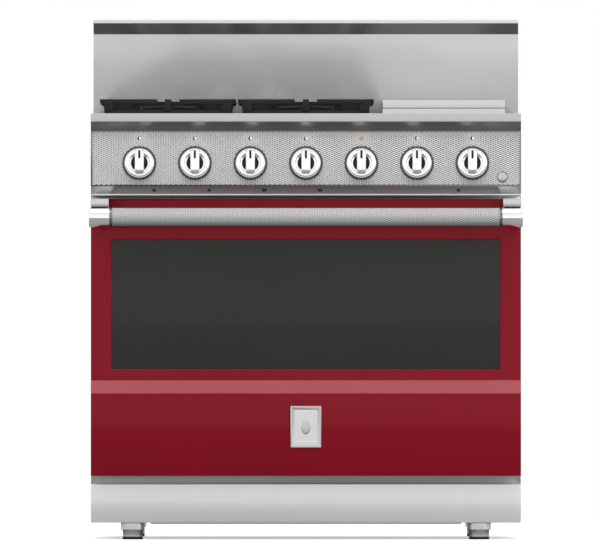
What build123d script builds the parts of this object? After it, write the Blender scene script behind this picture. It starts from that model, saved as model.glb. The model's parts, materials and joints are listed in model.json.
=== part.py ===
from build123d import *
import os

# Freestanding gas range. Millimetres, +X right, -Y front, +Z up, origin on the floor
# under the middle of the whole range.

# ---- overall size ----
WIDTH = 911.0               # over the side panels
DEPTH = 749.0               # front of the door handle to the rear panel
HEIGHT = 1108.0             # floor to the top of the backguard
COOKTOP_HEIGHT = 902.5      # floor to the top of the front rail
LEG_HEIGHT = 35.6           # floor to the base frame, legs screwed in

# ---- sheet and clearances ----
SHEET = 1.5                 # side, rear, kick and liner sheet
FRONT_SHEET = 2.0           # front rail and control panel sheet
GAP = 0.3                   # between pieces that move past each other
RUNNING = 0.05              # radial clearance of a pin or shaft in its bore
CUT = 1.0                   # how far an opening's cut runs past the sheet

# ---- base ----
BASE_RAIL_HEIGHT = 24.4
BASE_RAIL_WIDTH = 50.0
BASE_HEM = 2.6              # hem under the front base rail
BASE_HEM_LENGTH = 658.0
KICK_HEIGHT = 81.6
KICK_SETBACK = 5.0          # kick panel behind the upper door face
LEG_SPACING = 734.0
COLLAR_R = 25.8
COLLAR_HEIGHT = 15.0
SHANK_R = 21.5
PAD_HEIGHT = 5.5
STUD_R = 6.0
STUD_LENGTH = 55.0
SOCKET_R = 12.0
SOCKET_LENGTH = 40.0

# ---- control area, top to bottom ----
CONTROL_HEIGHT = 173.5      # cooktop height down to the lower trim's lip
RAIL_FACE = 17.5
RAIL_SLANT = 19.0
RAIL_PROUD = 20.0           # rail in front of the control panel
TRIM_SLANT = 16.0
TRIM_LIP = 3.0
PANEL_PROUD = 30.0          # control panel in front of the upper door face
CONTROL_DEPTH = 25.0        # control panel face to the side panels' upper ears
SCREW_R = 4.0
SCREW_HEAD = 1.2
SCREW_X = (-321.7, -204.7, -87.0, 30.0, 323.0)

# ---- knobs ----
KNOB_COUNT = 7
KNOB_PITCH = 117.5
KNOB_DROP = 104.9           # cooktop height down to the knob axis
KNOB_R = 32.3
KNOB_DISH_R = 21.8
KNOB_LENGTH = 32.0
KNOB_SKIRT = 9.0
KNOB_SKIRT_WALL = 3.0
GRIP_WIDTH = 22.4
GRIP_LENGTH = 49.0
GRIP_RISE = 3.5             # grip's middle above the knob axis
BEZEL_R = 35.0
BEZEL_HEIGHT = 3.0
STEM_R = 3.0
STEM_LENGTH = 56.0
STEM_CLEAR = 1.0            # panel hole round a stem
BEZEL_CLEAR = 3.0           # bezel ring round a stem
PUSH = 3.0                  # travel of a gas knob pushed in to turn
GAS_KNOBS = (1, 2, 3, 4, 7)
BEAD_R = 4.0
BEAD_DROP = 53.0            # cooktop height down to the indicator beads
BEAD_HEIGHT = 3.0
BEAD_TAIL = 3.0             # tail behind the panel sheet
BUTTON_X = 416.0
BUTTON_DROP = 134.5
BUTTON_R = 10.2
BUTTON_LENGTH = 15.0
BUTTON_PROUD = 3.0

# ---- door ----
DOOR_GAP = 7.0              # lower trim to the door's top edge
DOOR_CLEAR_BOTTOM = 17.8    # kick panel to the door's bottom edge
DOOR_THICKNESS = 48.0
DOOR_STEP = 20.0            # lower door face in front of the upper one
STEP_TOP = 202.5            # bevel's top above the door's bottom edge
STEP_HEIGHT = 27.6
DOOR_SHEET = 1.5
DOOR_LINER_SHEET = 2.0
WINDOW_WIDTH = 823.0
WINDOW_HEIGHT = 275.0
WINDOW_DROP = 86.3          # door's top edge to the window's top edge
WINDOW_GLASS = 5.0
INNER_WINDOW_WIDTH = 640.0
INNER_WINDOW_HEIGHT = 215.0
INNER_GLASS = 4.0
GLASS_LAP = 10.0            # inner glass beyond its opening
HANDLE_R = 19.7
HANDLE_END_R = 21.5
HANDLE_END_LENGTH = 44.1
HANDLE_OVERHANG = 3.85      # handle ends beyond the side panels
HANDLE_STANDOFF = 58.0      # handle axis to the upper door face
HANDLE_DROP = 39.0          # door's top edge down to the handle axis
BRACKET_WIDTH = 38.4
BRACKET_LAP = 4.0           # bracket sunk into the handle end
BADGE_WIDTH = 65.0
BADGE_HEIGHT = 88.0
BADGE_RIM = 7.5
BADGE_THICKNESS = 3.0
BADGE_PLATE = 1.6
BADGE_RISE = 104.0          # door's bottom edge up to the badge's middle

# ---- door hinges ----
HINGE_RISE = 15.0           # door's bottom edge up to the hinge axis
HINGE_SPACING = 780.0
HINGE_ARM = 10.0
HINGE_ARM_HEIGHT = 14.0
HINGE_PIN_R = 4.0
HINGE_PIN_LENGTH = 34.0
HINGE_EAR = 4.0
HINGE_SLOT_CLEAR = 2.0
HINGE_EAR_RISE = 15.0

# ---- oven ----
FRAME_GAP = 5.0             # door's inner face to the front frame
GASKET_WIDTH = 10.0
GASKET_INSET = 4.0          # cavity edge to the gasket
OVEN_WIDTH = 770.0
OVEN_HEIGHT = 450.0
OVEN_DEPTH = 477.0
OVEN_RISE = 200.0           # floor to the cavity's bottom
GUIDE_WIRE_R = 2.5
GUIDE_LEVELS = 5
GUIDE_PITCH = 75.0
GUIDE_FIRST = 60.0          # cavity bottom to the lowest guide wire
GUIDE_STANDOFF = 12.0
RACK_LEVELS = (2, 4)
RACK_WIRE_R = 2.5
RACK_FRAME_R = 3.5
RACK_WIRES = 17
RACK_FRONT_CLEAR = 17.0
RACK_BACK_CLEAR = 75.0
FAN_R = 62.0
FAN_HUB_R = 9.0
FAN_BLADES = 8
FAN_BLADE_DEPTH = 20.0
FAN_SHAFT_R = 4.0
FAN_CLEAR = 8.0             # fan to the cavity's back wall
SHAFT_HOLE_CLEAR = 2.0      # liner hole round the shaft
SHAFT_END_CLEAR = 2.0       # end of the shaft in the motor
MOTOR_R = 42.0
MOTOR_LENGTH = 60.0
BAFFLE_SIZE = 240.0
BAFFLE_DEPTH = 38.0
INTAKE_LIP = 14.0           # fan's edge inside the intake
INTAKE_BAR = 8.0
BURNER_TUBE_R = 9.0
BROIL_DROP = 32.0
BAKE_DROP = 30.0

# ---- cooktop ----
PAN_DEPTH = 22.0
GRATE_WIDTH = 290.0
GRATE_GAP = 2.5             # between the two grates
GRATE_LENGTH = 590.0
GRATE_FRONT = 15.0          # pan's front edge to the grates
GRATE_HEIGHT = 30.5         # above the front rail's top
GRATE_BAR = 9.0
GRATE_FINGER = 7.0
GRATE_FINGER_HEIGHT = 12.0
GRATE_POST = 22.0
GRATE_FRAME_HEIGHT = 10.0
FINGER_OPENING = 30.0       # radius left open over each burner
THROAT_R = 18.0
THROAT_WALL = 4.0
THROAT_LENGTH = 24.0
BASE_R = 46.0
BURNER_BASE_HEIGHT = 12.0
HEAD_R = 45.0
HEAD_WALL = 8.0
HEAD_HEIGHT = 14.0
CAP_R = 60.0
CAP_HEIGHT = 10.0
CAP_RIM = 4.0               # cap's rim down into the head
GRIDDLE_WIDTH = 259.0
GRIDDLE_GAP = 17.2          # right grate to the griddle
GRIDDLE_SEAM = 10.1         # seam above the front rail's top
GRIDDLE_RIM = 18.0
GRIDDLE_WALL = 3.0
GRIDDLE_FLOOR = 8.0
TRAY_LENGTH = 46.0
TRAY_WALL = 1.5
BURNER_LIFT = 2.0           # griddle burner above the pan

# ---- backguard ----
BACKGUARD_DEPTH = 52.0
BACKGUARD_CAP = 31.0        # cap's height, lip and slant
BACKGUARD_LIP = 8.0
BACKGUARD_OVERHANG = 22.0

# ---- gas supply ----
MANIFOLD_R = 9.0
VALVE_SIZE = 24.0
VALVE_LENGTH = 26.0
VALVE_STANDOFF = 20.0       # panel sheet to the valves
VALVE_WALL = 2.0            # solid end behind the stem's bore
MANIFOLD_INSET = 20.0       # manifold run from the side panel
INLET_R = 10.4
INLET_LENGTH = 35.0
INLET_X = 300.0
INLET_Z = 130.0
INLET_ACCESS = 60.0
ELBOW_SIZE = 26.0           # cube of the inlet elbow, wider than the manifold

# ---- planes and levels worked out from the sizes ----
HALF = WIDTH / 2
INNER_HALF = HALF - SHEET
BACK = DEPTH / 2
HANDLE_Y = -DEPTH / 2 + HANDLE_END_R
DOOR_FACE = HANDLE_Y + HANDLE_STANDOFF
DOOR_LOW_FACE = DOOR_FACE - DOOR_STEP
DOOR_BACK = DOOR_FACE + DOOR_THICKNESS
FRAME_FACE = DOOR_BACK + FRAME_GAP
PANEL_FACE = DOOR_FACE - PANEL_PROUD
RAIL_Y = PANEL_FACE - RAIL_PROUD
EAR_FRONT = PANEL_FACE + CONTROL_DEPTH
KICK_FACE = DOOR_FACE + KICK_SETBACK

BASE_TOP = LEG_HEIGHT + BASE_RAIL_HEIGHT
KICK_TOP = LEG_HEIGHT + KICK_HEIGHT
DOOR_BOTTOM = KICK_TOP + DOOR_CLEAR_BOTTOM
CONTROL_BOTTOM = COOKTOP_HEIGHT - CONTROL_HEIGHT
DOOR_TOP = CONTROL_BOTTOM - DOOR_GAP
PANEL_TOP = COOKTOP_HEIGHT - RAIL_FACE - RAIL_SLANT
PANEL_BOTTOM = CONTROL_BOTTOM + TRIM_LIP + TRIM_SLANT
TRIM_Y = PANEL_FACE + TRIM_SLANT
KNOB_Z = COOKTOP_HEIGHT - KNOB_DROP
BEAD_Z = COOKTOP_HEIGHT - BEAD_DROP
BUTTON_Z = COOKTOP_HEIGHT - BUTTON_DROP
HANDLE_Z = DOOR_TOP - HANDLE_DROP
STEP_Z = DOOR_BOTTOM + STEP_TOP
HINGE_Y = DOOR_FACE
HINGE_Z = DOOR_BOTTOM + HINGE_RISE
WINDOW_TOP = DOOR_TOP - WINDOW_DROP
WINDOW_MIDDLE = WINDOW_TOP - WINDOW_HEIGHT / 2
OVEN_TOP = OVEN_RISE + OVEN_HEIGHT
OVEN_FRONT = FRAME_FACE + SHEET
OVEN_BACK = OVEN_FRONT + OVEN_DEPTH
PAN_FRONT = EAR_FRONT
BACKGUARD_FACE = BACK - BACKGUARD_DEPTH
PAN_FLOOR = COOKTOP_HEIGHT - PAN_DEPTH
PAN_SEAT = PAN_FLOOR + SHEET
HEAD_Z = PAN_SEAT + BURNER_BASE_HEIGHT
GRATE_Y0 = PAN_FRONT + GRATE_FRONT
GRATE_Y1 = GRATE_Y0 + GRATE_LENGTH
GRATE_Y = (GRATE_Y0 + GRATE_Y1) / 2
GRATE_TOP = COOKTOP_HEIGHT + GRATE_HEIGHT
GRATE_CENTRES = (-GRATE_WIDTH - GRATE_GAP, 0.0)
GRIDDLE_X0 = GRATE_WIDTH / 2 + GRIDDLE_GAP
GRIDDLE_X1 = GRIDDLE_X0 + GRIDDLE_WIDTH
BURNER_Y = (GRATE_Y - GRATE_LENGTH / 4, GRATE_Y + GRATE_LENGTH / 4)
BURNERS = [(x, y) for x in GRATE_CENTRES for y in BURNER_Y]
KNOB_X = [(k - (KNOB_COUNT + 1) / 2) * KNOB_PITCH for k in range(1, KNOB_COUNT + 1)]
KNOB_BACK = PANEL_FACE - BEZEL_HEIGHT - PUSH - GAP
KNOB_FRONT = KNOB_BACK - KNOB_LENGTH
LEG_X = LEG_SPACING / 2
LEG_Y = (KICK_FACE + SHEET + BASE_RAIL_WIDTH / 2, BACK - SHEET - BASE_RAIL_WIDTH / 2)
SIDES = (-1, 1)


# ---- shapes that repeat ----
def block(x0, x1, y0, y1, z0, z1):
    """A box between two corners."""
    middle = Pos((x0 + x1) / 2, (y0 + y1) / 2, (z0 + z1) / 2)
    return middle * Box(abs(x1 - x0), abs(y1 - y0), abs(z1 - z0))


def round_x(radius, x0, x1, y, z):
    """A round bar along X."""
    return Pos((x0 + x1) / 2, y, z) * Rot(0, 90, 0) * Cylinder(radius, abs(x1 - x0))


def round_y(radius, y0, y1, x, z):
    """A round bar along Y."""
    return Pos(x, (y0 + y1) / 2, z) * Rot(90, 0, 0) * Cylinder(radius, abs(y1 - y0))


def round_z(radius, z0, z1, x, y):
    """A round bar along Z."""
    return Pos(x, y, (z0 + z1) / 2) * Cylinder(radius, abs(z1 - z0))


def section_x(outline, x0, x1):
    """A (y, z) outline drawn out along X."""
    face = Plane.YZ.offset(x0) * Polygon(*outline, align=None)
    return extrude(face, amount=x1 - x0, dir=(1, 0, 0))


def join(shapes):
    """One solid from shapes that meet."""
    whole = shapes[0]
    for shape in shapes[1:]:
        whole = whole + shape
    return whole


def save(name, shapes):
    """Write one node, made of one solid or a group of separate ones."""
    solids = [solid for shape in shapes for solid in shape.solids()]
    node = solids[0] if len(solids) == 1 else Compound(children=solids)
    export_step(node, f"parts/{name}.step")


# ---- casing ----
def side_panels():
    """Two flat sides, each with an ear that closes the end of the control box."""
    outline = [
        (FRAME_FACE, LEG_HEIGHT), (BACK - SHEET, LEG_HEIGHT), (BACK - SHEET, COOKTOP_HEIGHT),
        (EAR_FRONT, COOKTOP_HEIGHT), (EAR_FRONT, CONTROL_BOTTOM), (FRAME_FACE, CONTROL_BOTTOM),
    ]
    left = section_x(outline, -HALF, -INNER_HALF)
    return [left, mirror(left, about=Plane.YZ)]


def rear_panel():
    """Back sheet with an access hole round the gas inlet."""
    reach = INLET_ACCESS / 2
    sheet = block(-HALF, HALF, BACK - SHEET, BACK, BASE_TOP, COOKTOP_HEIGHT)
    hole = block(INLET_X - reach, INLET_X + reach, BACK - 2 * SHEET, BACK + SHEET,
                 INLET_Z - reach, INLET_Z + reach)
    return [sheet - hole]


def base_frame():
    """Ring of channels, open upwards, with a bore for each leg socket."""
    front, back = KICK_FACE + SHEET, BACK - SHEET
    ring = block(-INNER_HALF, INNER_HALF, front, back, LEG_HEIGHT, BASE_TOP)
    ring -= block(-INNER_HALF + BASE_RAIL_WIDTH, INNER_HALF - BASE_RAIL_WIDTH,
                  front + BASE_RAIL_WIDTH, back - BASE_RAIL_WIDTH, LEG_HEIGHT, BASE_TOP)
    floor, wall, wide = LEG_HEIGHT + SHEET, SHEET, BASE_RAIL_WIDTH - SHEET
    hollow = block(-INNER_HALF + wall, INNER_HALF - wall, front + wall, back - wall, floor, BASE_TOP)
    hollow -= block(-INNER_HALF + wide, INNER_HALF - wide, front + wide, back - wide,
                    floor, BASE_TOP)
    ring -= hollow
    for x in (-LEG_X, LEG_X):
        for y in LEG_Y:
            ring -= round_z(SOCKET_R, LEG_HEIGHT - CUT, floor + CUT, x, y)
    reach = BASE_HEM_LENGTH / 2
    return [ring + block(-reach, reach, front, front + SHEET, LEG_HEIGHT - BASE_HEM, floor)]


def kick_panel():
    """Front sheet below the door, folded back at its top and both ends."""
    shell = block(-HALF, HALF, KICK_FACE, FRAME_FACE, LEG_HEIGHT, KICK_TOP)
    return [shell - block(-INNER_HALF, INNER_HALF, KICK_FACE + SHEET, FRAME_FACE,
                          LEG_HEIGHT, KICK_TOP - SHEET)]


def leg_sockets():
    """Four threaded bosses standing in the base frame."""
    sockets = []
    for x in (-LEG_X, LEG_X):
        for y in LEG_Y:
            boss = round_z(SOCKET_R, LEG_HEIGHT, LEG_HEIGHT + SOCKET_LENGTH, x, y)
            thread = round_z(STUD_R + RUNNING, LEG_HEIGHT - CUT,
                             LEG_HEIGHT + SOCKET_LENGTH + CUT, x, y)
            sockets.append(boss - thread)
    return sockets


def leg(x, y):
    """Levelling leg: stud, collar and shank in one, and a rubber pad."""
    collar_top = LEG_HEIGHT - GAP
    collar_bottom = collar_top - COLLAR_HEIGHT
    body = round_z(STUD_R, collar_bottom, collar_top + STUD_LENGTH, x, y)
    body += round_z(COLLAR_R, collar_bottom, collar_top, x, y)
    body += round_z(SHANK_R, PAD_HEIGHT, collar_bottom, x, y)
    return [body, round_z(SHANK_R, 0, PAD_HEIGHT, x, y)]


# ---- cooktop and controls ----
def cooktop_pan():
    """Recessed pan with a hole for each burner throat."""
    pan = block(-INNER_HALF, INNER_HALF, PAN_FRONT, BACKGUARD_FACE, PAN_FLOOR, COOKTOP_HEIGHT)
    pan -= block(-INNER_HALF + SHEET, INNER_HALF - SHEET, PAN_FRONT + SHEET,
                 BACKGUARD_FACE - SHEET, PAN_SEAT, COOKTOP_HEIGHT)
    for x, y in BURNERS:
        pan -= round_z(THROAT_R, PAN_FLOOR - CUT, PAN_SEAT + CUT, x, y)
    return [pan]


def folded_front(outline, inner):
    """Folded sheet along the full width, closed at both ends, open at the back."""
    return (section_x(outline, -HALF, HALF)
            - section_x(inner, -HALF + FRONT_SHEET, HALF - FRONT_SHEET))


def front_rail():
    """Rail above the control panel: upright face, slanted underside, flat top."""
    low, high, t = PANEL_TOP, COOKTOP_HEIGHT, FRONT_SHEET
    knee = low + RAIL_SLANT
    outline = [(EAR_FRONT, low), (PANEL_FACE, low), (RAIL_Y, knee), (RAIL_Y, high), (EAR_FRONT, high)]
    inner = [(EAR_FRONT, low), (PANEL_FACE + t, low), (RAIL_Y + t, knee), (RAIL_Y + t, high - t),
             (EAR_FRONT, high - t)]
    return [folded_front(outline, inner)]


def control_panel():
    """Upright panel with holes for the stems, beads and light button."""
    outline = [(EAR_FRONT, PANEL_BOTTOM), (PANEL_FACE, PANEL_BOTTOM), (PANEL_FACE, PANEL_TOP),
               (EAR_FRONT, PANEL_TOP)]
    inner = [(EAR_FRONT, PANEL_BOTTOM), (PANEL_FACE + FRONT_SHEET, PANEL_BOTTOM),
             (PANEL_FACE + FRONT_SHEET, PANEL_TOP), (EAR_FRONT, PANEL_TOP)]
    panel = folded_front(outline, inner)
    y0, y1 = PANEL_FACE - CUT, PANEL_FACE + FRONT_SHEET + CUT
    for x in KNOB_X:
        panel -= round_y(STEM_R + STEM_CLEAR, y0, y1, x, KNOB_Z)
        panel -= round_y(BEAD_R / 2, y0, y1, x, BEAD_Z)
    return [panel - round_y(BUTTON_R + GAP, y0, y1, BUTTON_X, BUTTON_Z)]


def lower_trim():
    """Slanted strip under the control panel, with the floor of the control box."""
    low, t = CONTROL_BOTTOM, FRONT_SHEET
    outline = [(EAR_FRONT, low), (TRIM_Y, low), (TRIM_Y, low + TRIM_LIP), (PANEL_FACE, PANEL_BOTTOM),
               (EAR_FRONT, PANEL_BOTTOM)]
    inner = [(EAR_FRONT, low + t), (TRIM_Y + t, low + t), (TRIM_Y + t, low + TRIM_LIP + t / 2),
             (PANEL_FACE + t, PANEL_BOTTOM), (EAR_FRONT, PANEL_BOTTOM)]
    floor = block(-INNER_HALF, INNER_HALF, EAR_FRONT, FRAME_FACE, low, low + t)
    return [folded_front(outline, inner) + floor]


def trim_screws():
    """Pan-head screws square to the slanted strip."""
    slope_y = (PANEL_FACE + TRIM_Y) / 2
    slope_z = CONTROL_BOTTOM + TRIM_LIP + TRIM_SLANT / 2
    head = Pos(0, slope_y, slope_z) * Rot(135, 0, 0) * Pos(0, 0, SCREW_HEAD / 2)
    return [Pos(x, 0, 0) * head * Cylinder(SCREW_R, SCREW_HEAD) for x in SCREW_X]


def knob_bezels():
    """Ring on the panel behind each knob."""
    y0, y1 = PANEL_FACE - BEZEL_HEIGHT, PANEL_FACE
    bore = STEM_R + BEZEL_CLEAR
    return [round_y(BEZEL_R, y0, y1, x, KNOB_Z) - round_y(bore, y0 - CUT, y1 + CUT, x, KNOB_Z)
            for x in KNOB_X]


def knob(x):
    """Round skirt, dished face and an upright grip bar, bored for its stem."""
    skirt_front = KNOB_BACK - KNOB_SKIRT
    body = round_y(KNOB_R, skirt_front, KNOB_BACK, x, KNOB_Z)
    body -= round_y(KNOB_R - KNOB_SKIRT_WALL, KNOB_BACK - KNOB_SKIRT / 2, KNOB_BACK + CUT, x, KNOB_Z)
    body += round_y(KNOB_DISH_R, skirt_front, KNOB_BACK, x, KNOB_Z)
    body += block(x - GRIP_WIDTH / 2, x + GRIP_WIDTH / 2, KNOB_FRONT, skirt_front,
                  KNOB_Z + GRIP_RISE - GRIP_LENGTH / 2, KNOB_Z + GRIP_RISE + GRIP_LENGTH / 2)
    return [body - round_y(STEM_R + RUNNING, KNOB_FRONT + KNOB_SKIRT, KNOB_BACK + CUT, x, KNOB_Z)]


def stem(x):
    """Valve stem from inside the knob back into its valve or switch."""
    front = KNOB_FRONT + KNOB_SKIRT + GAP
    return round_y(STEM_R, front, front + STEM_LENGTH, x, KNOB_Z)


def bead(x):
    """Indicator lens standing on the panel, with its tail through the sheet."""
    tail = round_y(BEAD_R / 2, PANEL_FACE, PANEL_FACE + FRONT_SHEET + BEAD_TAIL, x, BEAD_Z)
    return round_y(BEAD_R, PANEL_FACE - BEAD_HEIGHT, PANEL_FACE, x, BEAD_Z) + tail


def light_button():
    """Round push button through the control panel."""
    front = PANEL_FACE - BUTTON_PROUD
    return [round_y(BUTTON_R, front, front + BUTTON_LENGTH, BUTTON_X, BUTTON_Z)]


# ---- gas supply ----
VALVE_FRONT = PANEL_FACE + FRONT_SHEET + VALVE_STANDOFF
VALVE_BACK = VALVE_FRONT + VALVE_LENGTH
MANIFOLD_Y = VALVE_BACK + MANIFOLD_R


def control_valves():
    """Gas valves and oven switches on the stems' axes, each bored for its stem."""
    valves = []
    reach = VALVE_SIZE / 2
    for x in KNOB_X:
        body = block(x - reach, x + reach, VALVE_FRONT, VALVE_BACK, KNOB_Z - reach, KNOB_Z + reach)
        valves.append(body - round_y(STEM_R + RUNNING, VALVE_FRONT - CUT, VALVE_BACK - VALVE_WALL,
                                     x, KNOB_Z))
    return valves


def gas_manifold():
    """Supply bar behind the valves, down one side and out to the rear inlet."""
    x = INNER_HALF - MANIFOLD_INSET
    bar = round_x(MANIFOLD_R, KNOB_X[0], x, MANIFOLD_Y, KNOB_Z)
    corner = Pos(x, MANIFOLD_Y, KNOB_Z) * Sphere(MANIFOLD_R)
    back = BACK - SHEET - INLET_LENGTH
    run = round_y(MANIFOLD_R, MANIFOLD_Y, back, x, KNOB_Z)
    turn = Pos(x, back, KNOB_Z) * Sphere(MANIFOLD_R)
    drop = round_z(MANIFOLD_R, INLET_Z, KNOB_Z, x, back)
    foot = Pos(x, back, INLET_Z) * Sphere(MANIFOLD_R)
    across = round_x(MANIFOLD_R, INLET_X, x, back, INLET_Z)
    elbow = Pos(INLET_X, back, INLET_Z) * Sphere(MANIFOLD_R)
    inlet = round_y(INLET_R, back, BACK - SHEET, INLET_X, INLET_Z)
    reach = ELBOW_SIZE / 2
    inlet += block(INLET_X - reach, INLET_X + reach, back - reach, back + reach,
                   INLET_Z - reach, INLET_Z + reach)
    return [join([bar, corner, run, turn, drop, foot, across, elbow, inlet])]


# ---- burners, grates and griddle ----
def burner_bases():
    """Cast base on the pan, with its throat down through the pan."""
    bases = []
    for x, y in BURNERS:
        base = round_z(BASE_R, PAN_SEAT, HEAD_Z, x, y)
        throat = round_z(THROAT_R, PAN_SEAT - THROAT_LENGTH, PAN_SEAT + CUT, x, y)
        bore = round_z(THROAT_R - THROAT_WALL, PAN_SEAT - THROAT_LENGTH - CUT, HEAD_Z + CUT, x, y)
        bases.append(base + throat - bore)
    return bases


def burner_heads():
    """Brass ring with flame ports round it."""
    heads = []
    for x, y in BURNERS:
        head = round_z(HEAD_R, HEAD_Z, HEAD_Z + HEAD_HEIGHT, x, y)
        head -= round_z(HEAD_R - HEAD_WALL, HEAD_Z - CUT, HEAD_Z + HEAD_HEIGHT + CUT, x, y)
        heads.append(head)
    return heads


def burner_caps():
    """Cast cap on each head, with a locating rim inside the head."""
    caps = []
    low = HEAD_Z + HEAD_HEIGHT
    for x, y in BURNERS:
        cap = round_z(CAP_R, low, low + CAP_HEIGHT, x, y)
        cap = fillet(cap.edges().group_by(Axis.Z)[-1], CAP_HEIGHT / 3)
        caps.append(cap + round_z(HEAD_R - HEAD_WALL - GAP, low - CAP_RIM, low + CUT, x, y))
    return caps


def grate(x):
    """Cast grate: corner posts, low frame, and fingers that point at each burner."""
    half, bar = GRATE_WIDTH / 2, GRATE_BAR
    x0, x1 = x - half, x + half
    low = COOKTOP_HEIGHT
    frame_top = low + GRATE_FRAME_HEIGHT
    seat = PAN_SEAT + GAP
    ring = block(x0, x1, GRATE_Y0, GRATE_Y1, low, frame_top)
    ring -= block(x0 + bar, x1 - bar, GRATE_Y0 + bar, GRATE_Y1 - bar, low, frame_top)
    pieces = [ring]
    inset = GRATE_POST / 2
    for px in (x0 + inset, x1 - inset):
        for py in (GRATE_Y0 + inset, GRATE_Y, GRATE_Y1 - inset):
            pieces.append(block(px - inset, px + inset, py - inset, py + inset, seat, GRATE_TOP))
    finger_low = GRATE_TOP - GRATE_FINGER_HEIGHT
    w = GRATE_FINGER / 2
    for y in (GRATE_Y0 + inset, GRATE_Y, GRATE_Y1 - inset):
        pieces.append(block(x0, x1, y - w, y + w, finger_low, GRATE_TOP))
    for px in (x0 + w, x1 - w):
        pieces.append(block(px - w, px + w, GRATE_Y0, GRATE_Y1, finger_low, GRATE_TOP))
    quarter = GRATE_LENGTH / 4
    for y in BURNER_Y:
        for side in SIDES:
            pieces.append(block(x + side * FINGER_OPENING, x + side * half, y - w, y + w,
                                finger_low, GRATE_TOP))
            pieces.append(block(x - w, x + w, y + side * FINGER_OPENING, y + side * quarter,
                                finger_low, GRATE_TOP))
            pieces.append(block(x + side * half / 2 - w, x + side * half / 2 + w,
                                y - quarter, y + quarter, finger_low, GRATE_TOP))
    return [join(pieces)]


GRIDDLE_SEAT = COOKTOP_HEIGHT + GRIDDLE_SEAM
TRAY_BACK = GRATE_Y0 + TRAY_LENGTH


def griddle_frame():
    """Open frame on the pan that carries the plate and the tray."""
    wall = GRIDDLE_WALL
    frame = block(GRIDDLE_X0, GRIDDLE_X1, GRATE_Y0, GRATE_Y1, PAN_SEAT, GRIDDLE_SEAT)
    return [frame - block(GRIDDLE_X0 + wall, GRIDDLE_X1 - wall, GRATE_Y0 + wall, GRATE_Y1 - wall,
                          PAN_SEAT, GRIDDLE_SEAT)]


def griddle_plate():
    """Thick plate behind the tray, with a rim on three sides."""
    low, high, rim = GRIDDLE_SEAT + GAP, GRIDDLE_SEAT + GAP + GRIDDLE_RIM, GRIDDLE_WALL
    y0 = TRAY_BACK + GAP
    plate = block(GRIDDLE_X0, GRIDDLE_X1, y0, GRATE_Y1, low, high)
    return [plate - block(GRIDDLE_X0 + rim, GRIDDLE_X1 - rim, y0, GRATE_Y1 - rim,
                          low + GRIDDLE_FLOOR, high)]


def grease_tray():
    """Trough across the front of the griddle."""
    low, high, wall = GRIDDLE_SEAT + GAP, GRIDDLE_SEAT + GAP + GRIDDLE_RIM, TRAY_WALL
    back = TRAY_BACK
    tray = block(GRIDDLE_X0, GRIDDLE_X1, GRATE_Y0, back, low, high)
    tray -= block(GRIDDLE_X0, GRIDDLE_X1, back - 2 * wall, back, low + GRIDDLE_FLOOR, high)
    return [tray - block(GRIDDLE_X0 + wall, GRIDDLE_X1 - wall, GRATE_Y0 + wall, back - wall,
                         low + wall, high)]


def tube_loop(x0, x1, y0, y1, z, hanger_top):
    """Burner tube: two long runs joined across the front, on four hangers."""
    radius = BURNER_TUBE_R
    runs = [round_y(radius, y0, y1, x0, z), round_y(radius, y0, y1, x1, z),
            round_x(radius, x0, x1, y0, z)]
    corners = [Pos(x, y0, z) * Sphere(radius) for x in (x0, x1)]
    ends = [y0 + 4 * radius, y1 - radius]
    hangers = [round_z(radius / 2, z, hanger_top, x, y) for x in (x0, x1) for y in ends]
    return join(runs + corners + hangers)


def griddle_burner():
    """Tube burner under the griddle plate, standing on the pan."""
    inset = GRIDDLE_WIDTH / 4
    z = PAN_SEAT + BURNER_TUBE_R + BURNER_LIFT
    return [tube_loop(GRIDDLE_X0 + inset, GRIDDLE_X1 - inset, TRAY_BACK, GRATE_Y1 - inset, z,
                      PAN_SEAT)]


# ---- backguard ----
def backguard():
    """Upright box at the back: flat face, slanted underside and a thin front lip."""
    low, high, face = COOKTOP_HEIGHT, HEIGHT, BACKGUARD_FACE
    brow = face - BACKGUARD_OVERHANG
    knee, lip, t = high - BACKGUARD_CAP, high - BACKGUARD_LIP, SHEET
    outline = [(face, low), (face, knee), (brow, lip), (brow, high), (BACK, high), (BACK, low)]
    inner = [(face + t, low), (face + t, knee), (brow + t, lip), (brow + t, high - t),
             (BACK - t, high - t), (BACK - t, low)]
    return [section_x(outline, -HALF, HALF) - section_x(inner, -HALF + t, HALF - t)]


# ---- oven ----
OVEN_HALF = OVEN_WIDTH / 2
OVEN_MIDDLE = OVEN_RISE + OVEN_HEIGHT / 2
BAFFLE_FACE = OVEN_BACK - BAFFLE_DEPTH


def oven_liner():
    """Cavity box, open at the front, with a hole for the fan shaft."""
    box = block(-OVEN_HALF - SHEET, OVEN_HALF + SHEET, OVEN_FRONT, OVEN_BACK + SHEET,
                OVEN_RISE - SHEET, OVEN_TOP + SHEET)
    box -= block(-OVEN_HALF, OVEN_HALF, OVEN_FRONT, OVEN_BACK, OVEN_RISE, OVEN_TOP)
    return [box - round_y(FAN_SHAFT_R + SHAFT_HOLE_CLEAR, OVEN_BACK - CUT, OVEN_BACK + SHEET + CUT,
                          0, OVEN_MIDDLE)]


def front_frame():
    """Sheet round the cavity's mouth, between the side panels."""
    sheet = block(-INNER_HALF, INNER_HALF, FRAME_FACE, OVEN_FRONT, BASE_TOP, CONTROL_BOTTOM)
    return [sheet - block(-OVEN_HALF, OVEN_HALF, FRAME_FACE, OVEN_FRONT, OVEN_RISE, OVEN_TOP)]


def door_gasket():
    """Heat seal round the mouth, just clear of the closed door."""
    inner = GASKET_INSET
    outer = GASKET_INSET + GASKET_WIDTH
    y0, y1 = DOOR_BACK + GAP, FRAME_FACE
    ring = block(-OVEN_HALF - outer, OVEN_HALF + outer, y0, y1, OVEN_RISE - outer, OVEN_TOP + outer)
    return [ring - block(-OVEN_HALF - inner, OVEN_HALF + inner, y0, y1,
                         OVEN_RISE - inner, OVEN_TOP + inner)]


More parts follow.
